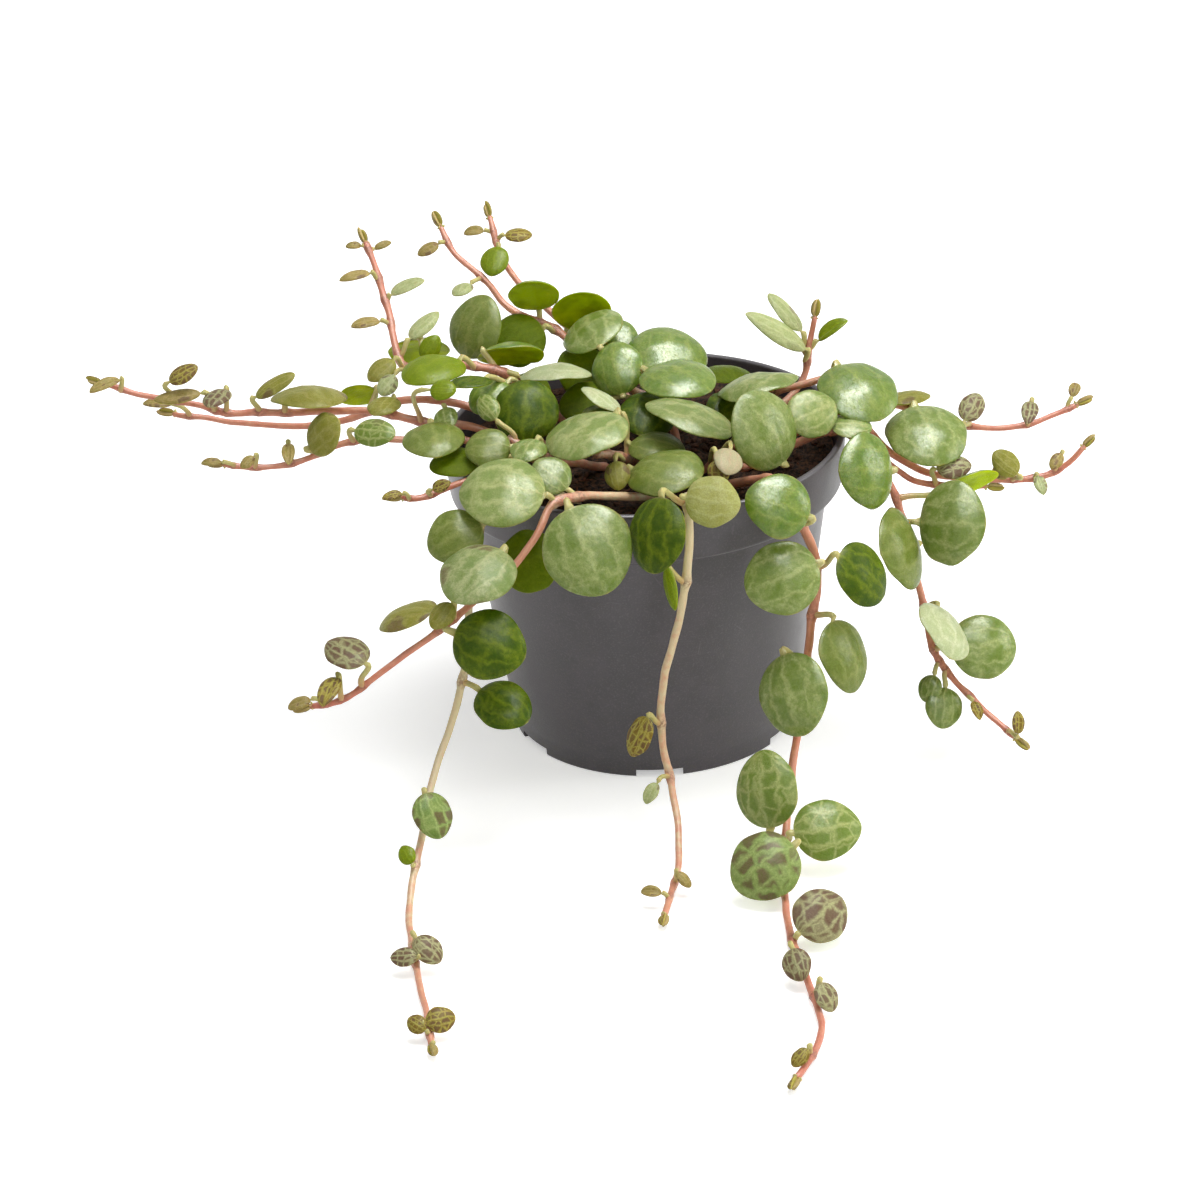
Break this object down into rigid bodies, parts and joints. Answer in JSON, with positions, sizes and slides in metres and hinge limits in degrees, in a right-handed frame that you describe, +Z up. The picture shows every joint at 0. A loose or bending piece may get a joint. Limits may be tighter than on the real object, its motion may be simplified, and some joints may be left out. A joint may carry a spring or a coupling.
{
  "type": "potted string of turtles",
  "caption": "Small trailing houseplant with round fleshy veined leaves on thin reddish stems, growing over the lip of a black plastic nursery pot.",
  "frame": {"origin": "centre of the pot's foot, on its axis, at the surface that the pot stands on", "axes": "+Z up along the pot's axis; -Y towards the front, where the longest stems hang over the lip and lie along the surface; +X to the right seen from the front"},
  "size_m": [0.1486, 0.1395, 0.0703],
  "materials": {
    "pot_plastic": "matte black, slightly grey",
    "peat": "damp dark crumbs with reddish bark bits",
    "stem_skin": "satin, salmon to reddish brown",
    "leaf_skin": "waxy satin green with pale veins"
  },
  "bodies": {
    "root": {"pot": "pot_plastic", "soil": "peat", "stem_up_left": "stem_skin", "stem_up_back": "stem_skin", "stem_up_centre": "stem_skin", "stem_up_right": "stem_skin", "stem_left_high": "stem_skin", "stem_left_low": "stem_skin", "stem_left_front": "stem_skin", "stem_left_short": "stem_skin", "stem_right_high": "stem_skin", "stem_right_mid": "stem_skin", "stem_right_low": "stem_skin", "stem_right_hanging": "stem_skin", "stem_front_left": "stem_skin", "stem_trailing_left": "stem_skin", "stem_trailing_middle": "stem_skin", "stem_trailing_right": "stem_skin", "stem_crown_left": "stem_skin", "stem_crown_middle": "stem_skin", "stem_crown_back": "stem_skin", "stem_crown_right": "stem_skin", "stem_crown_far_right": "stem_skin", "leaf_up_left_1": "leaf_skin", "leaf_up_left_2": "leaf_skin", "leaf_up_left_3": "leaf_skin", "leaf_up_left_4": "leaf_skin", "leaf_up_left_5": "leaf_skin", "leaf_up_back_1": "leaf_skin", "leaf_up_back_2": "leaf_skin", "leaf_up_back_3": "leaf_skin", "leaf_left_front_1": "leaf_skin", "leaf_left_front_2": "leaf_skin", "leaf_left_high_1": "leaf_skin", "leaf_crown_left_1": "leaf_skin", "leaf_crown_left_2": "leaf_skin", "leaf_crown_left_3": "leaf_skin", "leaf_crown_middle_1": "leaf_skin", "leaf_crown_middle_2": "leaf_skin", "leaf_crown_back_1": "leaf_skin", "leaf_crown_back_2": "leaf_skin", "leaf_crown_back_3": "leaf_skin", "leaf_crown_back_4": "leaf_skin", "leaf_crown_right_1": "leaf_skin", "leaf_crown_right_2": "leaf_skin", "leaf_crown_right_3": "leaf_skin", "leaf_crown_far_right_1": "leaf_skin", "leaf_crown_far_right_2": "leaf_skin", "leaf_right_high_1": "leaf_skin", "leaf_right_hanging_1": "leaf_skin", "leaf_right_hanging_2": "leaf_skin", "leaf_right_hanging_3": "leaf_skin", "leaf_right_hanging_4": "leaf_skin", "leaf_front_left_1": "leaf_skin", "leaf_front_left_2": "leaf_skin", "leaf_front_left_3": "leaf_skin", "leaf_front_left_4": "leaf_skin", "leaf_trailing_middle_1": "leaf_skin", "leaf_trailing_right_1": "leaf_skin", "leaf_trailing_right_2": "leaf_skin"}
  },
  "joints": []
}
